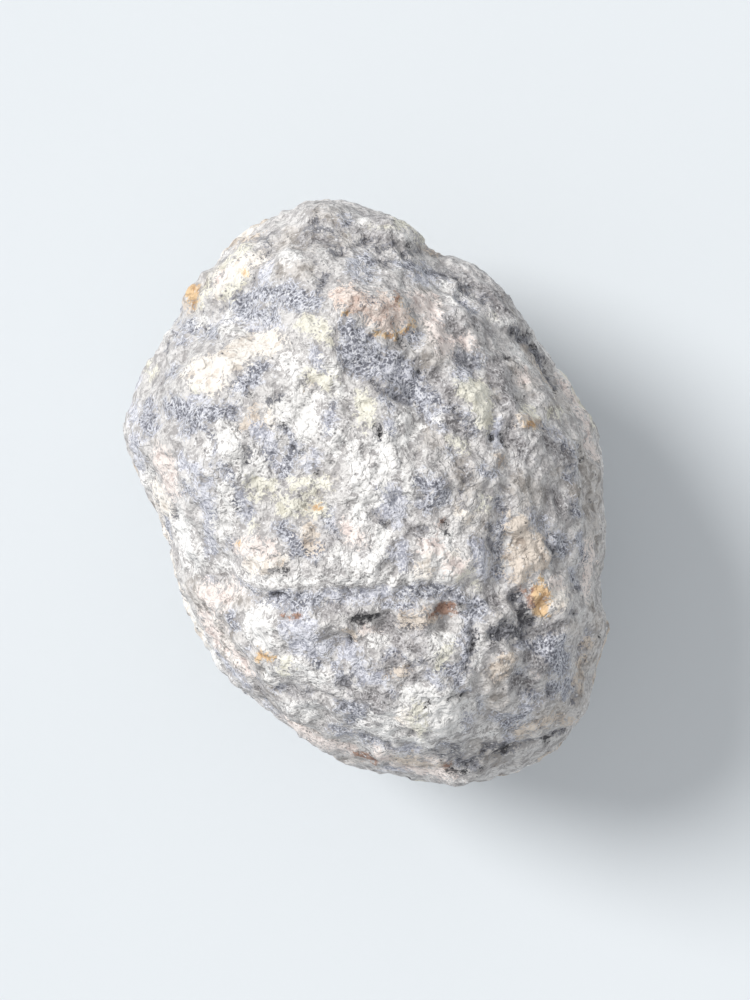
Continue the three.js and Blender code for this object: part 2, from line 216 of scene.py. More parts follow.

# The streaks that each mineral shows in on the stone's top, placed in the view: a streak's
# half width, then the points of its line.
STREAKS = {
    "sand": [
        (1.6, [(5.0, 21.0), (6.0, 19.0), (6.8, 16.8), (6.0, 14.8)]),
        (1.0, [(-9.5, 23.8), (-7.0, 23.9)]),
        (1.2, [(-9.5, 27.0), (-6.5, 26.8), (-3.0, 27.2)]),
        (0.8, [(-6.2, 29.5), (-4.0, 29.3)]),
        (0.7, [(9.0, 24.0), (11.3, 22.5), (13.3, 20.3), (14.8, 18.8)]),
        (0.6, [(20.8, 11.0), (22.3, 7.5), (23.0, 3.0), (23.2, -2.0), (23.0, -7.0)]),
        (1.2, [(14.3, 13.8), (16.0, 12.2)]),
        (1.0, [(11.5, 12.2), (12.6, 10.8)]),
        (1.0, [(5.0, 7.0), (6.6, 5.6)]),
        (1.2, [(8.7, 3.6), (9.6, 1.6), (9.0, -0.3)]),
        (1.3, [(15.3, 1.6), (17.2, 0.6)]),
        (0.8, [(11.2, -1.8), (11.0, -3.2)]),
        (0.6, [(-6.9, 1.5), (-5.3, 1.1), (-4.6, 2.1)]),
        (0.8, [(13.2, -9.8), (12.6, -11.4)]),
        (1.4, [(13.2, -16.8), (12.6, -18.6), (12.8, -20.9)]),
        (0.7, [(22.6, -11.0), (23.2, -13.3), (22.0, -17.0), (21.0, -20.6)]),
        (0.7, [(-8.0, -24.0), (-5.0, -25.6), (-2.0, -26.8), (1.0, -26.6)]),
        (0.6, [(12.6, -27.0), (10.6, -25.2)]),
        (0.7, [(-12.6, 27.2), (-15.0, 26.9)]),
        (0.8, [(20.0, 9.4), (18.4, 9.6)]),
        (0.9, [(16.2, -22.2), (18.6, -21.8)]),
        (1.0, [(-15.0, -11.6), (-14.6, -14.0)]),
        (0.9, [(2.4, -12.9), (5.4, -12.2)]),
        (0.8, [(-11.4, -17.4), (-10.6, -20.0)]),
        (0.9, [(17.8, -13.0), (20.6, -13.6)]),
        (0.9, [(17.8, -18.4), (19.4, -21.4)]),
        (0.9, [(-15.6, -10.4), (-12.6, -10.6)]),
        # The next five streaks run along the left, lower and right rims. Their warm tint is a painted
        # reflection of warm light bounced onto the rims.
        (1.2, [(-18.6, -9.0), (-17.0, -12.0), (-15.4, -14.6), (-13.6, -17.0)]),
        (1.0, [(-12.0, -19.8), (-8.4, -22.6), (-4.0, -25.0)]),
        (1.0, [(1.0, -26.6), (6.0, -27.6), (11.0, -26.8), (15.0, -25.0)]),
        (0.9, [(15.6, 15.6), (18.0, 12.6), (20.4, 9.0)]),
        (0.9, [(21.4, 6.0), (22.4, 1.0), (22.4, -4.0)]),
        (1.0, [(-17.8, 22.0), (-15.4, 24.8)]),
        (0.6, [(-18.0, 21.4), (-16.4, 23.0)]),
        (0.6, [(-23.4, 9.0), (-22.6, 5.4)]),
        (0.9, [(19.2, 3.4), (20.8, 0.8)]),
        (0.8, [(-16.8, -13.6), (-14.2, -17.4)]),
    ],
    "slate": [
        (1.2, [(-14.3, 20.1), (-12.0, 21.2), (-9.4, 21.4), (-6.4, 20.4)]),
        (1.0, [(-13.5, 19.2), (-10.6, 18.9)]),
        (0.9, [(-19.6, 18.4), (-16.6, 17.6)]),
        (0.5, [(-19.8, 16.4), (-21.0, 17.4)]),
        (0.9, [(-1.0, 25.2), (-0.4, 23.6)]),
        (0.8, [(2.4, 24.8), (5.0, 24.0), (7.2, 23.3)]),
        (0.7, [(8.8, 20.8), (10.2, 19.6)]),
        (0.7, [(-2.8, 29.2)]),
        (1.1, [(-2.6, 17.6), (-1.0, 16.8), (-3.2, 15.4)]),
        (1.7, [(-2.6, 15.0), (0.4, 14.3), (3.0, 12.8), (5.6, 10.8)]),
        (0.8, [(1.4, 11.2), (3.6, 10.4), (5.8, 9.4)]),
        (0.9, [(8.6, 15.4), (10.8, 14.3)]),
        (0.5, [(6.2, 8.0), (8.2, 8.0), (9.2, 7.2)]),
        (1.1, [(-23.6, 9.6), (-23.2, 7.4)]),
        (1.2, [(-21.0, 9.6), (-18.8, 8.8), (-16.6, 9.2), (-15.0, 9.2)]),
        (1.0, [(-14.0, 11.8), (-12.6, 12.8), (-11.8, 13.8)]),
        (0.5, [(-21.8, 12.2), (-20.6, 13.4)]),
        (0.6, [(-19.6, 7.2), (-18.0, 7.4)]),
        (1.0, [(-8.2, 5.4), (-9.2, 3.2)]),
        (0.7, [(-9.3, 7.2), (-8.4, 7.0)]),
        (0.6, [(-4.6, 9.8), (-4.8, 8.0)]),
        (0.6, [(-15.9, 3.2), (-15.0, 2.2)]),
        (0.5, [(-16.8, 6.6), (-16.6, 4.4)]),
        (0.7, [(-19.6, 1.5), (-18.6, 1.0)]),
        (0.9, [(-14.6, -0.4), (-13.4, -0.9)]),
        (0.5, [(-14.8, 1.4), (-13.8, 1.0)]),
        (0.4, [(-17.7, -5.8)]),
        (0.35, [(-15.2, -4.2), (-15.2, -5.2)]),
        (1.0, [(-9.4, -3.0), (-8.4, -5.0), (-6.2, -5.2)]),
        (0.7, [(-5.2, -1.0), (-4.6, -3.2)]),
        (0.45, [(-14.0, -8.4), (-12.4, -9.5)]),
        (0.4, [(-16.7, -8.6)]),
        (1.0, [(-10.3, -9.8), (-8.0, -10.2), (-5.4, -10.3)]),
        (0.3, [(-5.4, -10.9), (-0.6, -10.7)]),
        (0.9, [(2.8, -9.5), (6.0, -9.1), (8.2, -9.5), (9.0, -10.0)]),
        (0.6, [(1.0, -10.9), (4.0, -10.8)]),
        (1.0, [(4.6, 1.9), (6.6, 1.4), (7.0, 0.4), (5.0, -0.4)]),
        (0.6, [(11.0, 3.4), (12.0, 2.8)]),
        (0.5, [(7.5, 5.0)]),
        (0.8, [(13.0, -0.4), (13.8, -1.4), (12.6, -3.0)]),
        (0.8, [(12.6, -3.6), (12.5, -6.0), (12.8, -7.8)]),
        (0.9, [(19.4, -0.4), (20.9, -0.9)]),
        (1.0, [(18.7, -4.4), (19.4, -5.4)]),
        (0.6, [(16.4, -1.2), (17.6, -3.0)]),
        (0.7, [(21.0, -8.8), (20.6, -7.6)]),
        (1.0, [(18.0, 6.4), (20.4, 5.0)]),
        (0.8, [(14.6, 6.6), (15.4, 5.2)]),
        (0.9, [(10.2, -10.7), (11.6, -10.7), (9.6, -12.4)]),
        (0.7, [(9.6, -12.4), (9.7, -14.0), (9.3, -16.0), (8.4, -17.6), (8.4, -18.8)]),
        (0.6, [(-8.8, -12.4), (-6.8, -12.6)]),
        (0.8, [(-6.4, -16.0), (-5.8, -17.0)]),
        (0.5, [(-14.7, -12.0), (-14.3, -13.4)]),
        (0.4, [(-13.3, -15.8)]),
        (0.5, [(-17.8, -12.2)]),
        (0.8, [(-9.8, -19.4), (-7.2, -20.2)]),
        (0.8, [(-3.2, -21.2), (-1.2, -21.8), (-2.4, -22.8)]),
        (0.6, [(-4.0, -17.2), (-3.6, -18.6), (-3.2, -19.6)]),
        (0.6, [(-4.4, -23.8), (-2.4, -24.3), (1.2, -25.2)]),
        (1.5, [(16.2, -14.8), (18.8, -14.8), (19.4, -17.0), (17.0, -16.8)]),
        (1.0, [(15.0, -18.2), (16.4, -20.4)]),
        (1.0, [(18.6, -19.6), (20.4, -19.4)]),
        (0.9, [(14.0, -23.0), (15.6, -22.4)]),
        (0.45, [(10.6, -20.4), (10.8, -21.6)]),
        (0.5, [(6.4, -25.4), (8.2, -25.8)]),
        (0.8, [(8.6, -27.4), (10.4, -27.0)]),
        (0.5, [(13.4, -24.8), (15.0, -25.2)]),
        (0.6, [(-11.2, -20.8), (-9.4, -22.6)]),
        (0.4, [(-16.0, -16.4), (-14.8, -18.0)]),
        (0.4, [(-12.4, -18.0), (-12.0, -19.6)]),
        (0.8, [(20.6, 3.0), (20.2, 2.4)]),
        (0.5, [(2.2, -13.2), (3.6, -14.0)]),
        (0.7, [(1.6, -16.0), (3.0, -16.4)]),
        (0.6, [(4.4, -19.4), (3.4, -20.4)]),
        (0.5, [(0.6, -20.6), (2.2, -20.2)]),
        (0.6, [(21.2, -4.0), (21.8, -6.4)]),
        (0.6, [(21.8, -14.4), (21.4, -17.0)]),
        (0.75, [(3.4, 17.0), (4.6, 16.8)]),
        (0.5, [(-9.6, -11.2), (-6.4, -11.4)]),
        (0.5, [(0.8, 10.2), (1.4, 9.6)]),
        (1.0, [(5.6, 10.4), (7.6, 9.2), (9.0, 7.6)]),
        (0.9, [(9.0, 13.6), (10.2, 14.6)]),
        (0.8, [(6.6, -17.0), (8.0, -18.4)]),
        (0.8, [(12.6, -22.6), (14.6, -23.6)]),
        (0.7, [(16.6, 8.6), (17.8, 7.4)]),
        (0.7, [(5.2, 9.2), (7.0, 7.6)]),
        (0.5, [(9.6, 9.0), (10.2, 7.4)]),
        (0.5, [(-12.4, -10.6), (-9.6, -11.2)]),
    ],
    "lilac": [
        (0.7, [(-2.2, 24.8), (-1.4, 23.2)]),
        (0.7, [(-11.0, 24.6), (-11.6, 22.6)]),
        (0.6, [(-15.6, 18.7), (-12.8, 18.1), (-10.0, 18.0)]),
        (0.6, [(4.2, 22.8), (6.4, 22.8)]),
        (0.6, [(8.6, 13.4), (9.6, 13.2)]),
        (0.8, [(1.3, 8.2), (1.6, 7.2)]),
        (0.8, [(12.8, 7.8), (13.0, 6.2)]),
        (0.7, [(-25.2, 9.4), (-25.0, 8.2)]),
        (0.7, [(-19.6, 10.2), (-17.4, 10.4)]),
        (1.1, [(-12.4, 7.4), (-11.2, 5.6), (-10.6, 4.2)]),
        (0.8, [(-5.6, 13.6), (-6.4, 15.4)]),
        (0.9, [(-24.9, 6.0), (-24.0, 3.2)]),
        (0.8, [(-20.0, 4.2), (-18.4, 3.2)]),
        (1.0, [(-17.6, 0.0), (-16.8, -3.0), (-17.0, -5.2)]),
        (0.8, [(-13.6, 0.6), (-13.0, -2.0)]),
        (1.3, [(0.6, 1.4), (2.0, 0.6), (2.4, -0.6), (1.0, -1.0)]),
        (0.6, [(2.5, -2.8)]),
        (1.0, [(0.2, -5.4), (2.6, -5.4), (3.0, -6.6)]),
        (0.8, [(10.6, -4.4), (10.9, -7.0), (11.5, -8.0)]),
        (1.1, [(-2.8, -15.2), (-1.6, -17.4), (-1.0, -19.0), (0.6, -18.8)]),
        (0.7, [(-17.4, -14.0), (-15.4, -16.8), (-13.4, -19.2)]),
        (0.6, [(1.2, -27.8), (4.0, -27.9)]),
        (0.7, [(9.6, -22.2), (8.8, -23.4)]),
        (0.5, [(5.2, -17.6)]),
        (0.7, [(4.6, -25.8), (2.6, -26.0)]),
        (0.7, [(15.8, -21.6)]),
        (0.7, [(-5.0, 8.6), (-4.6, 7.2)]),
        (0.7, [(8.2, -14.6)]),
        (0.9, [(-4.6, -9.9), (-2.0, -9.8), (1.2, -9.5)]),
        (1.1, [(-9.2, -13.2), (-6.6, -13.6), (-8.0, -15.0), (-5.2, -15.2)]),
        (0.8, [(-18.0, 1.4), (-16.8, 2.0)]),
        (0.7, [(-6.2, 4.8), (-6.8, 3.2)]),
        (0.7, [(5.6, -18.8), (6.6, -19.2)]),
        (0.8, [(1.2, 13.6), (2.8, 12.8)]),
        (0.6, [(9.2, -19.4)]),
    ],
    "chalk": [
        (0.6, [(-1.2, 29.2), (-0.8, 29.0)]),
        (1.0, [(-8.8, 25.3)]),
        (0.6, [(-15.4, 25.8)]),
        (0.5, [(-18.1, 18.4)]),
        (0.5, [(-15.2, 19.0)]),
        (0.6, [(-21.0, 18.2), (-21.6, 16.8)]),
        (0.35, [(2.7, 27.4), (3.6, 27.3)]),
        (0.35, [(7.0, 22.7)]),
        (0.45, [(9.1, 21.6)]),
        (0.35, [(8.2, 20.7)]),
        (0.45, [(12.6, 18.6), (14.0, 18.5)]),
        (0.35, [(4.2, 25.3)]),
        (1.4, [(-9.8, 9.5), (-7.8, 9.4), (-7.0, 7.6), (-7.6, 10.4)]),
        (1.2, [(-15.4, 7.0), (-14.6, 5.0), (-12.2, 2.2)]),
        (0.6, [(-17.4, 5.3)]),
        (0.9, [(-9.4, 14.4), (-8.4, 12.8)]),
        (0.7, [(6.8, 8.6)]),
        (1.4, [(1.0, 5.6), (1.4, 3.8), (0.6, 2.4)]),
        (0.7, [(-1.8, 5.4), (-2.2, 3.8), (-1.6, 1.0)]),
        (0.8, [(-1.2, 3.0), (-1.0, 0.0), (-1.4, -2.0)]),
        (0.7, [(3.5, 0.9), (3.4, 2.4)]),
        (1.4, [(-20.0, -2.0), (-19.6, -4.0), (-18.9, -6.2)]),
        (0.45, [(-16.0, -7.2), (-12.0, -8.2), (-6.0, -8.4), (0.0, -8.2), (3.0, -8.0)]),
        (0.9, [(-15.6, -2.4), (-15.4, 0.6)]),
        (1.3, [(5.4, -5.0), (7.2, -4.8), (5.6, -6.6), (8.0, -7.2)]),
        (1.1, [(-2.2, -6.0), (-3.8, -5.4)]),
        (1.0, [(1.0, -3.8), (-0.4, -6.6)]),
        (0.25, [(13.7, -3.0), (13.5, -7.0)]),
        (0.7, [(3.4, 6.8), (2.4, 6.2)]),
        (0.8, [(5.8, -14.4), (7.2, -14.4), (6.6, -15.4)]),
        (0.35, [(10.5, -14.0), (10.3, -16.6)]),
        (0.8, [(-8.4, -21.5), (-6.6, -21.0), (-6.8, -22.2)]),
        (1.3, [(-12.6, -13.0), (-11.6, -14.6), (-12.0, -12.0)]),
        (0.8, [(-9.4, -17.1), (-7.6, -17.3), (-5.2, -18.4)]),
        (0.7, [(-10.6, -18.2)]),
        (1.2, [(0.2, -22.2), (2.4, -22.6), (1.0, -23.8)]),
        (1.5, [(3.8, -20.4), (7.0, -21.0), (7.8, -23.0), (5.2, -22.8)]),
        (0.6, [(5.6, -25.4)]),
        (0.35, [(18.2, -12.8), (16.9, -13.5)]),
        (0.5, [(16.8, -19.2)]),
        (0.6, [(-5.0, -5.9)]),
        (0.8, [(14.4, 15.4), (15.4, 14.4)]),
        (0.5, [(-5.6, 11.0), (-5.0, 10.0)]),
        (0.5, [(-24.2, 1.8), (-23.2, 3.0)]),
        (0.7, [(-0.4, -14.8), (1.4, -14.4)]),
        (0.5, [(3.6, -15.6)]),
        (0.5, [(5.2, -13.4)]),
        (0.6, [(-5.2, 14.2), (-4.6, 13.2)]),
        (0.7, [(-16.2, -2.2), (-15.8, -3.6)]),
        (0.8, [(3.8, -24.8), (5.2, -24.9)]),
        (0.8, [(8.2, -20.7), (9.6, -21.2)]),
        (0.6, [(0.0, 0.5), (-0.1, -0.6)]),
        (0.6, [(-4.4, 12.4), (-3.6, 11.6)]),
        (0.7, [(2.8, 8.4), (3.8, 7.6)]),
        (0.7, [(-4.0, 6.6), (-4.0, 5.2)]),
        (1.0, [(-11.6, 3.8), (-11.2, 1.8)]),
        (0.5, [(-12.8, 5.4), (-12.6, 4.2)]),
        (0.6, [(-15.4, 17.6), (-14.2, 17.8)]),
        (0.5, [(-4.0, -8.2), (0.0, -8.0), (4.0, -7.9), (6.4, -7.9)]),
        (0.6, [(11.0, -24.2), (12.2, -24.4)]),
        (0.7, [(-1.4, -23.4), (-0.2, -23.8)]),
    ],
    "cream": [
        (1.0, [(-16.0, 21.8), (-14.6, 23.0), (-12.7, 24.5), (-11.6, 25.0)]),
        (1.4, [(-18.4, 13.2), (-15.2, 14.0), (-12.6, 15.9), (-10.8, 16.4)]),
        (1.1, [(-18.6, 12.0), (-16.2, 12.2)]),
        (1.2, [(-22.2, 1.0), (-21.4, -1.0)]),
        (0.35, [(-23.0, 1.5), (-22.0, -2.0), (-21.0, -6.0), (-20.0, -9.0), (-19.3, -11.4)]),
        (1.0, [(-12.6, -6.4), (-10.2, -6.2)]),
        (0.7, [(-10.8, 9.2), (-11.0, 8.4)]),
        (0.7, [(-7.0, -3.3)]),
        (0.9, [(8.2, -6.0), (9.2, -7.0)]),
        (0.9, [(3.4, -22.6), (4.6, -23.6)]),
        (0.9, [(18.7, -9.2), (19.0, -10.8)]),
        (0.6, [(-16.3, -12.5)]),
        (0.6, [(9.6, -2.0), (8.8, -1.0)]),
        (0.8, [(5.0, -7.4), (6.0, -5.6)]),
    ],
    "lemon": [
        (1.0, [(-7.0, 18.1), (-5.6, 17.8), (-5.2, 17.0)]),
        (0.5, [(-2.4, 27.9), (0.0, 28.1), (1.2, 28.2)]),
        (0.8, [(1.4, 28.6), (3.6, 28.3), (4.5, 27.4)]),
        (0.4, [(-3.1, 21.0), (-2.8, 19.9)]),
        (0.5, [(2.9, 19.4), (3.4, 18.4)]),
        (0.35, [(-13.2, 23.2)]),
        (0.45, [(-23.4, 14.6), (-23.3, 12.8)]),
        (0.8, [(-7.0, 12.5), (-5.0, 12.3)]),
        (1.0, [(-1.4, 10.4), (-0.6, 9.2), (-1.0, 8.3)]),
        (1.2, [(9.0, 11.8), (10.6, 11.6), (11.0, 9.6), (11.2, 8.5)]),
        (0.8, [(8.5, 6.1)]),
        (0.6, [(14.6, 9.9), (15.2, 8.8)]),
        (0.6, [(18.7, 9.3)]),
        (0.3, [(-18.7, 11.5)]),
        (0.9, [(-12.0, 1.9), (-11.8, 0.6)]),
        (0.5, [(-8.4, 1.2)]),
        (0.8, [(-9.8, -1.0), (-7.2, -0.6), (-6.0, -0.8)]),
        (0.6, [(11.2, -0.6)]),
        (0.6, [(9.3, -7.2)]),
        (0.45, [(11.0, -9.0)]),
        (0.7, [(7.2, -15.6), (6.4, -16.6)]),
        (0.6, [(4.2, -22.0), (4.7, -23.8)]),
        (0.7, [(-9.2, -17.2)]),
        (0.6, [(12.6, 19.4)]),
        (0.5, [(-12.8, -2.7)]),
        (0.4, [(-18.3, 20.4), (-17.0, 22.8), (-15.0, 24.8), (-13.2, 26.2)]),
        (0.7, [(-7.4, 0.4), (-6.4, -0.2)]),
        (0.8, [(-12.0, 1.6), (-10.4, 1.2)]),
        (0.7, [(-8.2, 1.8), (-5.2, 1.6)]),
        (0.7, [(-9.4, -0.2), (-5.6, -1.2)]),
        (0.6, [(2.0, 28.9), (4.6, 27.9)]),
        (0.9, [(14.8, 9.6), (16.4, 8.8)]),
        (0.7, [(-15.2, 21.2), (-13.6, 22.6)]),
    ],
    "blush": [
        (1.0, [(-22.4, 4.8), (-21.6, 3.0), (-21.2, 1.4)]),
        (0.8, [(-13.8, -4.8), (-12.0, -4.6), (-10.8, -5.2)]),
        (0.8, [(-3.0, -3.0), (-1.4, -4.0)]),
        (0.45, [(6.6, -2.8)]),
        (0.8, [(-17.4, -9.6), (-16.0, -10.4), (-14.9, -9.8)]),
        (0.4, [(-15.5, -13.2)]),
        (0.45, [(-1.6, -13.6), (1.2, -13.6)]),
        (0.5, [(16.8, -18.2)]),
        (0.6, [(4.0, -27.0), (6.6, -27.0)]),
        (0.6, [(-16.2, 23.0)]),
        (0.6, [(-4.4, 21.4)]),
        (1.0, [(7.6, 17.0), (9.4, 16.8)]),
        (0.9, [(15.2, 12.8)]),
        (0.7, [(18.8, -8.8)]),
        (0.6, [(14.9, -8.9), (14.8, -9.9)]),
        (0.5, [(22.4, -4.4), (22.0, -9.6)]),
        (0.8, [(-17.6, -12.0), (-16.6, -14.2)]),
        (0.7, [(-14.8, -15.4), (-13.0, -17.6)]),
        (0.8, [(-9.0, -22.8), (-6.0, -24.6), (-2.6, -25.8)]),
        (0.8, [(0.6, -26.4), (4.4, -28.0), (8.0, -28.6)]),
        (0.8, [(4.8, -4.8), (6.6, -5.2)]),
        (0.6, [(7.4, -6.6), (9.0, -6.4)]),
        (0.9, [(4.2, 21.0), (4.7, 19.8)]),
        (0.9, [(6.6, 17.4), (7.4, 15.8)]),
        (1.1, [(5.4, 20.4), (6.6, 18.4), (7.4, 16.2)]),
        (0.5, [(19.2, 12.6), (20.6, 10.2), (21.8, 7.6), (22.6, 4.6)]),
    ],
    "smoke": [
        (0.8, [(-0.6, 29.6), (1.2, 29.1)]),
        (0.9, [(5.2, 26.2), (7.2, 25.4)]),
        (0.9, [(9.4, 22.4), (12.0, 21.3), (13.4, 19.6)]),
        (1.0, [(6.4, 12.6), (7.6, 11.4)]),
        (1.2, [(12.6, 13.4), (13.6, 11.6), (14.2, 9.6)]),
        (1.1, [(14.6, 7.0), (15.6, 5.2)]),
        (0.8, [(7.6, 8.6), (8.6, 7.6)]),
        (1.0, [(1.0, -12.8), (2.6, -13.2), (4.8, -13.0)]),
        (0.9, [(12.0, -9.4), (13.0, -10.6)]),
        (1.1, [(2.2, -17.4), (3.6, -18.4)]),
        (1.0, [(-0.8, -20.6), (0.6, -21.4)]),
        (0.8, [(16.0, -16.4), (17.2, -17.4)]),
        (0.9, [(18.6, 0.6), (19.4, -0.8)]),
        (0.7, [(14.2, -9.2), (14.8, -10.0)]),
        (0.8, [(-8.8, -19.6), (-7.4, -20.4)]),
        (0.8, [(4.0, -3.2), (5.0, -3.8)]),
        (0.6, [(9.0, 3.4), (9.4, 2.2)]),
        (0.8, [(2.4, -14.6), (4.4, -15.0)]),
        (0.8, [(-7.6, 27.0), (-4.4, 26.8)]),
        (0.7, [(-2.0, 28.0), (1.6, 27.0)]),
        (0.7, [(10.0, 18.6), (12.0, 17.4)]),
        (0.8, [(7.4, 19.2), (8.6, 17.6)]),
        (0.7, [(7.4, 24.0), (8.8, 23.2)]),
        (0.6, [(-13.0, 27.0), (-10.6, 27.6)]),
        (0.6, [(-22.4, 12.4), (-22.0, 11.2)]),
        (0.6, [(11.6, -15.2), (13.2, -15.6)]),
        (0.5, [(-3.4, -19.4), (-2.6, -20.2)]),
        (0.5, [(8.8, 0.6), (9.2, -0.6)]),
        (0.5, [(-4.8, -3.6), (-5.2, -4.6)]),
        (0.6, [(13.8, -0.4), (14.4, -1.8)]),
        (1.0, [(17.4, 6.6), (19.6, 4.4)]),
        (0.9, [(14.4, -18.8), (16.4, -19.4)]),
        (0.8, [(16.6, -14.0), (19.2, -13.2)]),
        (0.7, [(-12.2, -19.4), (-9.6, -21.6)]),
        (0.5, [(-4.4, -11.6), (-1.0, -11.8)]),
        (0.5, [(16.8, -23.0), (19.0, -22.6)]),
    ],
    "tan": [
        (1.3, [(14.8, -2.2), (15.4, -4.2), (16.2, -6.0), (15.0, -7.2), (14.6, -5.2)]),
        (0.8, [(17.0, -4.4), (17.2, -6.6)]),
        (0.5, [(4.9, 26.0), (6.2, 25.5)]),
        (0.5, [(-12.5, 27.2), (-14.8, 26.9)]),
        (0.7, [(15.6, 8.4), (16.5, 8.0)]),
        (0.6, [(-12.9, 9.1), (-12.4, 8.4)]),
        (0.5, [(-13.6, 7.7)]),
        (0.35, [(-6.7, 11.8)]),
        (0.6, [(3.0, -12.3), (6.0, -11.9)]),
        (0.6, [(3.0, -17.6), (2.5, -18.2)]),
        (0.4, [(-2.8, -13.5), (-2.3, -14.1)]),
        (0.5, [(15.0, -24.0), (18.0, -23.0), (20.4, -22.8)]),
        (0.6, [(-19.4, 20.4)]),
        (0.5, [(2.0, -26.6), (7.6, -27.4)]),
        (0.8, [(12.8, -17.4)]),
        (0.4, [(22.0, -14.8), (21.2, -19.8)]),
        (0.5, [(13.0, 4.6)]),
        (0.6, [(-6.8, -2.8), (-6.6, -5.0)]),
        (0.6, [(13.6, -16.4), (12.8, -17.8)]),
        (0.5, [(16.4, 14.9), (18.0, 12.0)]),
        (0.4, [(15.6, 16.2), (17.0, 15.0)]),
    ],
    "coral": [
        (1.2, [(-3.6, 21.3), (-1.4, 20.4), (0.6, 19.4), (1.2, 18.4)]),
        (0.8, [(0.6, 20.8), (1.9, 19.6)]),
        (1.0, [(1.4, 20.2), (2.8, 18.8)]),
    ],
    "ochre": [
        (0.65, [(-18.8, 21.5), (-18.6, 20.9)]),
        (0.25, [(-13.2, 23.3)]),
        (1.0, [(17.1, -9.6), (17.5, -11.2)]),
        (0.5, [(17.3, -8.3)]),
        (0.5, [(-11.7, -16.2), (-10.9, -16.3)]),
        (0.3, [(-6.7, -0.4), (-5.9, -0.5)]),
        (0.2, [(0.3, 17.3), (1.8, 16.9), (2.2, 17.6)]),
        (0.2, [(-3.0, 19.4)]),
        (0.25, [(-14.2, -4.5)]),
        (0.35, [(16.2, 7.9)]),
        (0.2, [(-9.9, -6.4)]),
        (0.22, [(-0.1, 17.6), (2.1, 16.7), (3.9, 18.6)]),
        (0.15, [(2.1, 21.3), (2.8, 20.2)]),
    ],
    "rust": [
        (0.65, [(7.0, -11.2), (7.9, -11.2)]),
        (0.22, [(-9.6, -12.0), (-7.8, -12.0)]),
        (0.4, [(16.2, -9.4), (16.4, -10.8)]),
        (0.5, [(-1.8, -26.5), (-0.2, -27.2)]),
        (0.15, [(2.1, 21.5), (2.2, 20.9)]),
        (0.35, [(6.9, -27.6), (7.8, -27.4)]),
        (0.2, [(-1.9, 20.8)]),
        (0.3, [(7.0, -2.5)]),
        (0.25, [(15.3, -8.8), (15.7, -9.4)]),
        (0.22, [(5.6, -11.7), (6.6, -11.6)]),
    ],
    # Dark grey marks in folds, slots and hollows: partly the crust's own dark, partly painted shade.
    "soot": [
        (1.0, [(12.3, -13.8), (15.2, -13.6)]),
        (0.4, [(15.0, -12.8), (15.8, -13.0)]),
        (0.35, [(-7.4, 28.0), (-5.0, 28.1), (-3.2, 27.9)]),
        (0.35, [(-6.8, 28.6), (-5.8, 28.9)]),
        (0.3, [(-1.6, 26.8), (0.8, 26.4), (3.0, 26.1), (4.8, 25.6)]),
        (0.35, [(0.3, 25.5), (1.4, 24.4)]),
        (0.35, [(-4.3, 25.6), (-3.4, 25.8)]),
        (0.3, [(-6.3, 24.7)]),
        (0.5, [(-5.0, 23.4), (-5.5, 22.2)]),
        (0.3, [(6.4, 24.0), (8.7, 23.0), (9.5, 22.3)]),
        (0.3, [(8.8, 22.1), (10.4, 21.3), (12.0, 20.3)]),
        (0.2, [(2.9, 25.5), (4.3, 24.7)]),
        (0.3, [(10.6, 23.9), (12.5, 22.8), (13.6, 21.6)]),
        (0.45, [(-11.4, 27.1)]),
        (0.75, [(14.4, 17.2), (15.8, 16.5)]),
        (0.75, [(16.4, 15.6), (17.4, 14.0)]),
        (0.5, [(17.6, 13.6), (18.3, 12.0)]),
        (0.5, [(8.8, 15.6), (9.9, 14.2)]),
        (0.3, [(-0.2, 12.2), (0.4, 11.6)]),
        (0.2, [(2.4, 10.6), (3.2, 10.0)]),
        (0.3, [(0.1, 7.6), (0.6, 6.6)]),
        (0.3, [(-23.4, 8.6)]),
        (0.25, [(-11.0, 10.4), (-9.9, 10.8)]),
        (0.2, [(-13.4, 5.4), (-13.3, 4.0)]),
        (0.2, [(-21.9, 15.4), (-21.5, 16.2)]),
        (0.3, [(-20.7, -1.0), (-20.6, -1.9)]),
        (0.3, [(-18.7, -6.5)]),
        (0.45, [(7.8, -9.6)]),
        (0.3, [(-9.2, -10.6)]),
        (0.25, [(-2.7, -9.4)]),
        (0.35, [(4.8, 0.3)]),
        (0.25, [(8.1, 1.2), (8.9, 1.0)]),
        (0.3, [(5.0, -3.1)]),
        (0.15, [(12.0, -3.0), (12.0, -5.8)]),
        (0.45, [(14.6, -9.8), (15.6, -10.6), (16.0, -12.0)]),
        (0.3, [(18.3, -5.2), (18.5, -6.3)]),
        (0.35, [(-3.3, -19.1), (-2.8, -18.5)]),
        (0.3, [(1.0, -16.0)]),
        (0.3, [(-0.9, -21.8)]),
        (0.35, [(18.3, -20.0)]),
        (0.35, [(20.7, -20.5)]),
        (0.3, [(22.2, -19.2)]),
        (0.5, [(8.5, -26.1), (8.2, -25.6)]),
        (0.6, [(9.2, -27.4), (10.5, -26.9)]),
        (0.4, [(18.4, -24.2), (20.0, -23.7)]),
        (0.4, [(11.4, -25.6), (14.4, -25.4)]),
        (0.3, [(1.3, -25.3)]),
        (0.12, [(-1.0, 20.7), (0.1, 20.5)]),
        (0.12, [(-12.2, 24.2), (-12.5, 22.6), (-14.0, 21.1)]),
        (0.15, [(-10.9, 25.9), (-11.2, 25.2)]),
        (0.15, [(-16.0, 24.0), (-15.4, 24.9)]),
        (0.15, [(-17.4, 19.2), (-15.6, 19.7)]),
        (0.2, [(-16.6, 15.3), (-15.4, 16.1)]),
        (0.12, [(0.0, -1.8), (1.7, -2.6)]),
        (0.5, [(20.5, 3.0)]),
        (0.3, [(-23.0, 2.8)]),
        (0.3, [(20.8, -9.2)]),
        (0.3, [(20.6, -12.0)]),
        (0.14, [(-0.6, -18.0), (1.6, -17.3), (4.0, -16.9), (6.6, -16.2)]),
        (0.16, [(10.1, -12.6), (10.2, -15.0), (9.4, -17.4)]),
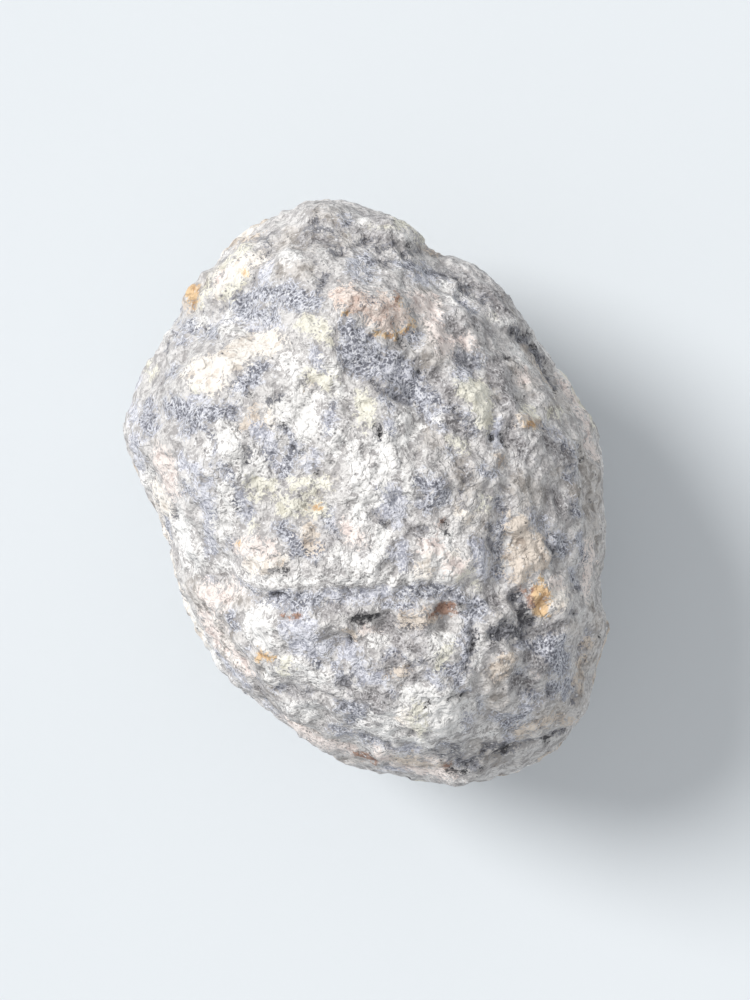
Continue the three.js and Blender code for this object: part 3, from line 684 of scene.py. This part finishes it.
        (0.2, [(5.4, -26.0), (9.0, -26.9), (13.0, -26.3), (17.2, -24.6)]),
        (0.6, [(15.4, -12.4), (16.6, -12.8)]),
        (0.5, [(13.2, -12.6), (14.2, -14.2)]),
    ],
    # Near-black marks in pits, the slot below the ledge and a notch: partly the crust's own dark,
    # partly painted shade.
    "coal": [
        (0.5, [(-2.3, -12.5), (-1.2, -12.5), (0.0, -12.3)]),
        (0.35, [(15.4, -11.9), (16.4, -12.4)]),
        (0.2, [(15.9, -10.8), (15.9, -11.8)]),
        (0.22, [(9.0, -11.2)]),
        (0.3, [(16.6, 15.8)]),
        (0.25, [(17.8, 14.3), (18.1, 13.5)]),
        (0.25, [(15.6, 17.3), (16.0, 17.3)]),
        (0.2, [(18.3, 11.6)]),
        (0.22, [(13.3, 14.8)]),
        (0.15, [(4.7, 13.4)]),
        (0.15, [(12.7, 10.3)]),
        (0.15, [(14.7, 10.5), (15.1, 10.4)]),
        (0.28, [(8.2, 9.4)]),
        (0.2, [(0.1, 7.4), (0.5, 6.6)]),
        (0.2, [(12.4, 6.5)]),
        (0.2, [(13.5, 6.5)]),
        (0.22, [(13.8, 5.5)]),
        (0.15, [(2.4, 16.8), (3.0, 16.0)]),
        (0.24, [(-13.5, 6.5)]),
        (0.15, [(-14.5, 9.2)]),
        (0.15, [(-13.0, 10.8)]),
        (0.2, [(-9.4, 7.5)]),
        (0.18, [(-8.3, 5.5)]),
        (0.14, [(-5.8, 2.6)]),
        (0.14, [(-8.2, 0.5)]),
        (0.22, [(-9.2, -7.4)]),
        (0.1, [(-10.8, -7.3), (-9.5, -7.3)]),
        (0.3, [(-5.6, -6.7)]),
        (0.28, [(7.4, -2.7)]),
        (0.15, [(7.5, -3.7)]),
        (0.2, [(-10.4, -9.7)]),
        (0.12, [(10.0, -13.4), (10.0, -15.3)]),
        (0.2, [(-2.8, -14.5)]),
        (0.13, [(7.4, -20.2), (9.2, -20.0)]),
        (0.16, [(5.3, -21.5)]),
        (0.45, [(7.7, -28.4), (8.2, -28.5)]),
        (0.25, [(9.5, -28.3)]),
        (0.25, [(11.2, -27.8)]),
        (0.25, [(12.5, -26.2), (13.8, -25.7)]),
        (0.45, [(17.7, -25.1)]),
        (0.2, [(2.4, -29.0), (3.2, -29.0)]),
        # A painted shadow along a notch.
        (0.25, [(5.2, 26.6), (7.0, 25.9)]),
        (0.3, [(23.3, -14.2)]),
        (0.12, [(21.2, 5.9), (21.6, 4.2)]),
        (0.2, [(3.6, 26.5)]),
        (0.15, [(-3.3, -21.1)]),
        (0.15, [(3.8, -24.2)]),
    ],
}

# The mesh, and how the top's streaks lie on it: they fade out below the waist, and a
# difference in level counts less than one across the view.
SUBDIVISIONS = 3
SEAM_GAP = 0.001
ROUNDING_PASSES = 6
ROUNDING = 0.5
WAIST_LEVEL = 20.0
FADE_BELOW_WAIST = 0.5
LEVEL_SHARE = 0.45
REACH_LIMIT = 3.0
SHORTEST_SQUARED = 1e-9

# The streaks of the side and underside are strewn: how many, each mineral's share, and sizes.
HIDDEN_STREAKS = 340
HIDDEN_SHARES = {
    "sand": 10, "smoke": 10, "slate": 22, "lilac": 10, "chalk": 20, "cream": 9, "lemon": 8,
    "blush": 7, "tan": 7, "ochre": 3, "rust": 2, "soot": 14, "coal": 12,
}
HIDDEN_HALF_WIDTHS = {"soot": (0.2, 0.7), "coal": (0.15, 0.4), "ochre": (0.25, 0.6), "rust": (0.2, 0.4)}
HIDDEN_HALF_WIDTH = (0.8, 2.2)
HIDDEN_LENGTH = 5.0
HIDDEN_SLANT = 0.5
HIDDEN_OVERLAP = 2.0
HIDDEN_SEED = 11

# The relief's forms: their sizes, their heights, and a seed that sets each apart.
SEED_SPREAD = (1.0, 2.3, -1.7)
EDGE_WANDER = ((4.0, 0.5), (1.5, 0.4))
EDGE_SEEDS = (3.1, 17.7, 41.3)
RIPPLES = ((5.0, 0.20), (2.4, 0.20))
RIPPLE_SEED = 5.9
WRINKLE_SIZE = 1.9
WRINKLE_HEIGHT = 0.30
WRINKLE_SEED = 23.0
BED_THICKNESS = 1.0
BED_HEIGHT = 0.10
BED_STRETCH = (0.12, 0.12, 1.0)
BED_SEED = 31.0
PLAIN_CRUMB = 0.18
PLAIN_GRIT = 0.55
STEP_AT_EDGE = (-0.3, 0.2)
CRUMB_SIZE = 2.0
CRUMB_SHARE = 1.3
CRUMB_FALL = 1.6
CRUMB_ROUNDNESS = 1.5
CRUMB_WANDER = 0.5
CRUMB_SEED = 1.3
STEEP_CRUMB = 0.55
FINE_CRUMB_SIZE = 1.1
FINE_CRUMB_SHARE = 1.1
FINE_CRUMB_SEED = 8.9
# Painted shade in the creases: the dip where it starts and where it is full, and the wrinkles' share.
CREASE_SHADE_FROM_TO = (0.25, -0.75)
CREASE_SHADE_WRINKLE = 0.6
FLAT_LEVEL = 0.05
LOWEST_LEVEL = 0.02


def copy_finely(node):
    """The node's own surface with its seams closed, divided finely and rounded off."""
    mesh = bmesh.new()
    mesh.from_mesh(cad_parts[node].data)
    bmesh.ops.remove_doubles(mesh, verts=mesh.verts, dist=SEAM_GAP * MM)
    bmesh.ops.subdivide_edges(mesh, edges=mesh.edges, cuts=SUBDIVISIONS, use_grid_fill=True)
    for _ in range(ROUNDING_PASSES):
        bmesh.ops.smooth_vert(
            mesh, verts=mesh.verts, factor=ROUNDING, use_axis_x=True, use_axis_y=True, use_axis_z=True
        )
    mesh.normal_update()
    return mesh


def places_in_view(points):
    """Where points of the stone appear in the view, in its millimetres."""
    x, y, z = points.T
    across = x * math.cos(VIEW_LEAN) - y * math.sin(VIEW_LEAN) - VIEW_AIM[0]
    upward = x * math.sin(VIEW_LEAN) + y * math.cos(VIEW_LEAN) - VIEW_AIM[1]
    nearness = VIEW_DISTANCE / (VIEW_DISTANCE + VIEW_LEVEL - z)
    return np.column_stack([across * nearness, upward * nearness])


def noise_places(points, size, seed):
    """Points in the noise's own units, moved to a part of it that the seed picks."""
    shift = Vector([share * seed for share in SEED_SPREAD])
    return [Vector(point) / size + shift for point in points]


def ripple(points, wavelength, seed):
    """Smooth noise at each point, between about -1 and 1."""
    return np.array([noise.noise(place) for place in noise_places(points, wavelength, seed)])


def crumbs(points, size, seed):
    """Packed crumbs: 1 on a crumb's middle, falling to 0 and less in the creases."""
    nearest = [noise.voronoi(place)[0][0] for place in noise_places(points, size, seed)]
    return 1 - CRUMB_FALL * np.array(nearest) ** CRUMB_ROUNDNESS


def reach_inside(places, half_width, line):
    """How far inside a streak each place lies, in millimetres. Outside is negative."""
    nearest = np.full(len(places), np.inf)
    for start, end in zip(line, line[1:] or line):
        start, along = np.array(start), np.array(end) - np.array(start)
        share = np.clip((places - start) @ along / max(along @ along, SHORTEST_SQUARED), 0, 1)
        away = np.linalg.norm(places - start - share[:, None] * along, axis=1)
        nearest = np.minimum(nearest, away)
    return half_width - nearest


def seen_line(places, upper, line):
    """A streak's line laid on the stone: each point takes the level of the surface seen there."""
    seen = places[upper]
    nearest = [np.argmin(np.linalg.norm(seen[:, :2] - point, axis=1)) for point in line]
    return [(*point, seen[near, 2]) for point, near in zip(line, nearest)]


def hidden_streaks(points, normals):
    """Streaks strewn over the side and underside: mineral, half width and line in 3-D."""
    chance = random.Random(HIDDEN_SEED)
    low = np.flatnonzero(points[:, 2] < WAIST_LEVEL + HIDDEN_OVERLAP)
    names, shares = list(HIDDEN_SHARES), list(HIDDEN_SHARES.values())
    for _ in range(HIDDEN_STREAKS):
        name = chance.choices(names, shares)[0]
        spot = chance.choice(low)
        half_width = chance.uniform(*HIDDEN_HALF_WIDTHS.get(name, HIDDEN_HALF_WIDTH))
        level = np.cross(normals[spot], [0, 0, 1])
        slope = np.array([chance.uniform(-1, 1) for _ in range(3)])
        length = chance.uniform(0, HIDDEN_LENGTH) * half_width
        target = points[spot] + (level + HIDDEN_SLANT * slope) * length
        far = np.argmin(np.linalg.norm(points - target, axis=1))
        yield name, half_width, [points[spot], points[far]]


def soft_step(low, high, value):
    """0 below low, 1 above high, and a smooth rise between."""
    share = np.clip((value - low) / (high - low), 0, 1)
    return share * share * (3 - 2 * share)


stone_mesh = copy_finely("geode")
points = np.array([v.co for v in stone_mesh.verts]) / MM
normals = np.array([v.normal for v in stone_mesh.verts])

# How far each point lies inside each mineral. The edges wander as the crust's edges do.
wander = sum(
    height * np.column_stack([ripple(points, length, seed) for seed in EDGE_SEEDS])
    for length, height in EDGE_WANDER
)
wandered = points + wander
places = np.column_stack([places_in_view(points), LEVEL_SHARE * points[:, 2]])
places_wandered = places + wander * (1, 1, LEVEL_SHARE)
upper = points[:, 2] > WAIST_LEVEL
below_waist = np.maximum(0, WAIST_LEVEL - points[:, 2])
reach = {}
for name in MINERALS:
    inside = [
        reach_inside(places_wandered, half_width, seen_line(places, upper, line))
        for half_width, line in STREAKS[name]
    ]
    reach[name] = np.max(inside, axis=0) - FADE_BELOW_WAIST * below_waist
for name, half_width, line in hidden_streaks(points, normals):
    reach[name] = np.maximum(reach[name], reach_inside(wandered, half_width, line))

# The relief: low swells, wrinkles, thin beds that show on the steep sides, the minerals' own
# steps, and crumbs, which are lower on those sides. The underside's small flat stays flat.
relief = sum(height * ripple(points, length, RIPPLE_SEED + length) for length, height in RIPPLES)
wrinkle = 1 - 2 * np.abs(ripple(wandered, WRINKLE_SIZE, WRINKLE_SEED))
relief += WRINKLE_HEIGHT * (wrinkle - 0.5)
levelness = np.abs(normals[:, 2])
relief += BED_HEIGHT * ripple(points * BED_STRETCH, BED_THICKNESS, BED_SEED) * (1 - levelness)
crumb_height = np.full(len(points), PLAIN_CRUMB)
grit = np.full(len(points), PLAIN_GRIT)
for name, mineral in MINERALS.items():
    cover = soft_step(*STEP_AT_EDGE, reach[name])
    relief += mineral["proud"] * cover
    crumb_height += (mineral["crumb"] - crumb_height) * cover
    grit += (mineral["grit"] - grit) * cover
crumb_height *= STEEP_CRUMB + (1 - STEEP_CRUMB) * levelness
crumb = crumbs(points + CRUMB_WANDER * wander, CRUMB_SIZE, CRUMB_SEED)
fine_crumb = crumbs(points, FINE_CRUMB_SIZE, FINE_CRUMB_SEED)
relief += crumb_height * (CRUMB_SHARE * (crumb - 0.5) + FINE_CRUMB_SHARE * (fine_crumb - 0.5))
# Painted shade: the crust is darker where the crumbs and wrinkles dip into creases.
crease = crumb + FINE_CRUMB_SHARE * fine_crumb + CREASE_SHADE_WRINKLE * (wrinkle - 0.5)
hollow = soft_step(*CREASE_SHADE_FROM_TO, crease)
dressed = points + normals * relief[:, None]
on_flat = points[:, 2] < FLAT_LEVEL
dressed[:, 2] = np.where(on_flat, 0, np.maximum(dressed[:, 2], LOWEST_LEVEL))

stone = bpy.data.objects.new("stone", bpy.data.meshes.new("stone"))
for face in stone_mesh.faces:
    face.smooth = True
stone_mesh.to_mesh(stone.data)
stone_mesh.free()
stone.data.vertices.foreach_set("co", (dressed * MM).ravel())
held = {name: np.clip(values, -REACH_LIMIT, REACH_LIMIT) for name, values in reach.items()}
held.update(hollow=hollow, grit=grit, lumps=crumb_height)
for name, values in held.items():
    stone.data.attributes.new(name, "FLOAT", "POINT").data.foreach_set("value", values)
stone.data.update()
bpy.context.scene.collection.objects.link(stone)

# The rind's finish: minerals laid one over the other with ragged edges. A mineral's grains are
# pale crumbs with darker creases, or a fine net of pale ridges over dark gaps, or between the
# two. Where no mineral lies, the crust is plain ash. The same noises raise the bump, so the dark
# in the low creases and gaps is partly painted shade, and the pale on the raised grains is partly
# painted light.
BED_SQUEEZE = 1.6
NET_SIZE = 0.44
NET_GRAIN = {"Detail": 2.0, "Roughness": 0.7, "Offset": 1.0, "Gain": 2.0}
NET_RANGE = (0.75, 1.95)
CRYSTAL_SIZE = 0.36
CHIP_TONES = (0.62, 1.3)
CRUMBLE_SIZE = 1.3
CRUMBLE_GRAIN = {"Detail": 3.0, "Roughness": 0.5}
CRUMBLE_RANGE = (0.37, 0.63)
RAGGED_SIZE = 0.9
RAGGED_GRAIN = {"Detail": 4.0, "Roughness": 0.7}
RAGGED_REACH = 4.0
GRAIN_REACH = 0.9
EDGE_SOFTNESS = 0.22
GAP_SOFTNESS = 0.30
ASH_LIGHT = (0.76, 0.745, 0.735)
ASH_DARK = (0.43, 0.415, 0.415)
ASH_GAPS = 0.45
ASH_NET = 0.45
# The net's highest ridges turn pale: partly pale grains, partly painted highlight on the raised crests.
CREST_RANGE = (0.76, 1.0)
CREST_PATCHES = 0.3
CREST_PALE_AND_HIGHLIGHT = (0.90, 0.905, 0.93)

# Shades over the minerals: broad tones, and painted shade in the creases and cracks.
TONE_SIZE = 7.0
TONE_RANGE = (0.3, 0.7)
TONE_SHADES = (0.94, 1.05)
SOFT_GRAIN = {"Detail": 2.0}
PAINTED_CREASE_SHADE = 0.91
BEND_SIZE = 0.9
# The cracks are cut into the bump and darkened with painted shade.
CRACK_SIZE = 1.7
CRACK_BEND = 0.9 * MM
CRACK_WIDTH = 0.06
CRACK_PATCHES = (0.50, 0.58)
PAINTED_CRACK_SHADE = 0.88

# Single grains: how likely one is to be a crystal that glints, or a speck like pepper.
SPECK_EDGE = (0.50, 0.25)
GLINT_COLOUR = (0.93, 0.93, 0.94)
GLINT_CHANCE = (0.90, 0.94)
GLINT_STRENGTH = 0.6
PEPPER_COLOUR = (0.10, 0.10, 0.11)
PEPPER_CHANCE = (0.95, 0.975)
PEPPER_STRENGTH = 0.7
RIND_ROUGHNESS = 0.88
GLINT_ROUGHNESS = 0.35
RIND_SPECULAR = 0.35

# The bump: its depth in millimetres, and how much of it each form makes.
BUMP_DEPTH = 0.42
BUMP_ROUGH = 2.2
BUMP_LUMP = 2.8
BUMP_NET = 0.14
BUMP_CRACK = 0.18
LUMP_SIZE = 0.75
LUMP_BEND = 0.6 * MM


def add_rise(tree, value, low, high, start=0.0, end=1.0, kind="SMOOTHSTEP"):
    """A rise from one value to another as the input goes from low to high."""
    limits = {"From Min": low, "From Max": high, "To Min": start, "To Max": end}
    made = add_node(tree, "ShaderNodeMapRange", {"Value": value, **limits}, interpolation_type=kind)
    return made.outputs["Result"]


def add_math(tree, operation, first, second):
    """One sum on two numbers or outputs."""
    made = add_node(tree, "ShaderNodeMath", operation=operation)
    for socket, value in zip(made.inputs, (first, second)):
        plug(tree, socket, value)
    return made.outputs[0]


def add_swing(tree, value, height):
    """A value between 0 and 1 made a swing to either side of 0."""
    return add_math(tree, "MULTIPLY", add_math(tree, "SUBTRACT", value, 0.5), height)


def add_grains(tree, pale, gaps, dark, light):
    """Two colours told apart by how far the grains rise over their gaps: partly painted shade and
    light.
    """
    height = add_math(tree, "SUBTRACT", pale, gaps)
    return add_mix(tree, "RGBA", add_rise(tree, height, -GAP_SOFTNESS, GAP_SOFTNESS), dark, light)


def mineral_group():
    """One mineral laid over what is under it: its net of pale grains, its pale crests, partly painted
    highlight, and its ragged edge.
    """
    group = bpy.data.node_groups.new("mineral_layer", "ShaderNodeTree")
    colours = ("Under", "Light", "Dark")
    numbers = ("Gaps", "Net share", "Crumble", "Net", "Reach", "Ragged", "Ragged share", "Crest share")
    for label in colours + numbers:
        kind = "NodeSocketColor" if label in colours else "NodeSocketFloat"
        group.interface.new_socket(label, in_out="INPUT", socket_type=kind)
    group.interface.new_socket("Colour", in_out="OUTPUT", socket_type="NodeSocketColor")
    given = group.nodes.new("NodeGroupInput").outputs
    ragged = add_math(group, "MULTIPLY", given["Ragged"], given["Ragged share"])
    edge = add_math(group, "ADD", given["Reach"], ragged)
    cover = add_rise(group, edge, -EDGE_SOFTNESS, EDGE_SOFTNESS)
    pale = add_mix(group, "FLOAT", given["Net share"], given["Crumble"], given["Net"])
    grains = add_grains(group, pale, given["Gaps"], given["Dark"], given["Light"])
    # The crests: pale grains and, in part, painted highlight on the net's raised ridges.
    patchy = add_swing(group, given["Crumble"], CREST_PATCHES)
    crest = add_rise(group, add_math(group, "ADD", given["Net"], patchy), *CREST_RANGE)
    crest = add_math(group, "MULTIPLY", crest, given["Crest share"])
    grains = add_mix(group, "RGBA", crest, grains, CREST_PALE_AND_HIGHLIGHT)
    colour = add_mix(group, "RGBA", cover, given["Under"], grains)
    group.links.new(colour, group.nodes.new("NodeGroupOutput").inputs["Colour"])
    return group


def texture(tree, kind, place, size, grain=None, **settings):
    """A noise or Voronoi texture whose features are about size millimetres across."""
    inputs = {"Vector": place, "Scale": 1 / (size * MM), **(grain or {})}
    return add_node(tree, "ShaderNodeTex" + kind, inputs, **settings).outputs


def carried(tree, name):
    """A value that the stone's points carry."""
    return add_node(tree, "ShaderNodeAttribute", attribute_name=name).outputs["Fac"]


def add_shade(tree, colour, tone):
    """A colour made darker or lighter by a tone."""
    return add_mix(tree, "RGBA", 1.0, colour, tone, blend="MULTIPLY")


def crust_material():
    """The crust of the whole stone."""
    material, tree, shader = new_material("crust")
    place = add_node(tree, "ShaderNodeTexCoord").outputs["Object"]
    squeeze = {"Vector": place, "Scale": (1, 1, BED_SQUEEZE)}
    beds = add_node(tree, "ShaderNodeMapping", squeeze).outputs[0]
    ridges = texture(tree, "Noise", beds, NET_SIZE, NET_GRAIN, noise_type="RIDGED_MULTIFRACTAL")[0]
    crystals = texture(tree, "Voronoi", beds, CRYSTAL_SIZE)
    chance = add_node(tree, "ShaderNodeSeparateColor", {"Color": crystals["Color"]}).outputs
    chips = add_rise(tree, chance[2], 0, 1, *CHIP_TONES)
    net = add_math(tree, "MULTIPLY", add_rise(tree, ridges, *NET_RANGE, kind="LINEAR"), chips)
    rough = texture(tree, "Noise", beds, CRUMBLE_SIZE, CRUMBLE_GRAIN)[0]
    crumble = add_rise(tree, rough, *CRUMBLE_RANGE, kind="LINEAR")
    ragged = texture(tree, "Noise", place, RAGGED_SIZE, RAGGED_GRAIN)[0]
    ragged = add_swing(tree, ragged, RAGGED_REACH)
    ragged = add_math(tree, "ADD", ragged, add_swing(tree, net, GRAIN_REACH))

    ash = add_mix(tree, "FLOAT", ASH_NET, crumble, net)
    colour = add_grains(tree, ash, ASH_GAPS, ASH_DARK, ASH_LIGHT)
    layer = mineral_group()
    for name, mineral in MINERALS.items():
        inputs = {
            "Under": colour, "Light": mineral["light"], "Dark": mineral["dark"],
            "Gaps": mineral["gaps"], "Net share": mineral["net"], "Crumble": crumble,
            "Net": net, "Reach": carried(tree, name), "Ragged": ragged,
            "Ragged share": mineral.get("ragged", 1.0), "Crest share": mineral.get("crest", 0.0),
        }
        made = add_node(tree, "ShaderNodeGroup", node_tree=layer)
        for label, value in inputs.items():
            plug(tree, made.inputs[label], value)
        colour = made.outputs["Colour"]

    # Painted shade darkens the creases and cracks, and the whole crust is a little paler in some parts.
    bend = texture(tree, "Noise", place, BEND_SIZE, SOFT_GRAIN)[1]
    bent = add_mix(tree, "VECTOR", CRACK_BEND, place, bend)
    cells = texture(tree, "Voronoi", bent, CRACK_SIZE, feature="DISTANCE_TO_EDGE")[0]
    crack = add_rise(tree, cells, CRACK_WIDTH, 0)
    crack = add_math(tree, "MULTIPLY", crack, add_rise(tree, rough, *CRACK_PATCHES))
    colour = add_shade(tree, colour, add_rise(tree, carried(tree, "hollow"), 0, 1, 1, PAINTED_CREASE_SHADE))
    colour = add_shade(tree, colour, add_rise(tree, crack, 0, 1, 1, PAINTED_CRACK_SHADE))
    tone = texture(tree, "Noise", place, TONE_SIZE, SOFT_GRAIN)[0]
    colour = add_shade(tree, colour, add_rise(tree, tone, *TONE_RANGE, *TONE_SHADES))

    # Single grains: pale crystals that glint, and dark specks like pepper.
    speck = add_rise(tree, crystals["Distance"], *SPECK_EDGE)
    glint = add_math(tree, "MULTIPLY", add_rise(tree, chance[0], *GLINT_CHANCE), speck)
    pepper = add_math(tree, "MULTIPLY", add_rise(tree, chance[1], *PEPPER_CHANCE), speck)
    pale_share = add_math(tree, "MULTIPLY", glint, GLINT_STRENGTH)
    colour = add_mix(tree, "RGBA", pale_share, colour, GLINT_COLOUR)
    dark_share = add_math(tree, "MULTIPLY", pepper, PEPPER_STRENGTH)
    colour = add_mix(tree, "RGBA", dark_share, colour, PEPPER_COLOUR)
    tree.links.new(colour, shader.inputs["Base Color"])
    roughness = add_rise(tree, glint, 0, 1, RIND_ROUGHNESS, GLINT_ROUGHNESS)
    tree.links.new(roughness, shader.inputs["Roughness"])
    shader.inputs["Specular IOR Level"].default_value = RIND_SPECULAR

    # The bump: rough crumbs all over, the net's ridges where a mineral has them, and the cracks.
    shifted = add_mix(tree, "VECTOR", LUMP_BEND, beds, bend)
    lump = texture(tree, "Voronoi", shifted, LUMP_SIZE)["Distance"]
    lump = add_math(tree, "MULTIPLY", add_math(tree, "MULTIPLY", lump, lump), carried(tree, "lumps"))
    ridge = add_math(tree, "MULTIPLY", net, carried(tree, "grit"))
    height = add_math(tree, "MULTIPLY", rough, BUMP_ROUGH)
    height = add_math(tree, "SUBTRACT", height, add_math(tree, "MULTIPLY", lump, BUMP_LUMP))
    height = add_math(tree, "ADD", height, add_math(tree, "MULTIPLY", ridge, BUMP_NET))
    height = add_math(tree, "SUBTRACT", height, add_math(tree, "MULTIPLY", crack, BUMP_CRACK))
    bump = add_node(tree, "ShaderNodeBump", {"Height": height, "Distance": BUMP_DEPTH * MM})
    tree.links.new(bump.outputs["Normal"], shader.inputs["Normal"])
    return material


stone.data.materials.append(crust_material())
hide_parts("geode")
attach(stone, "root")
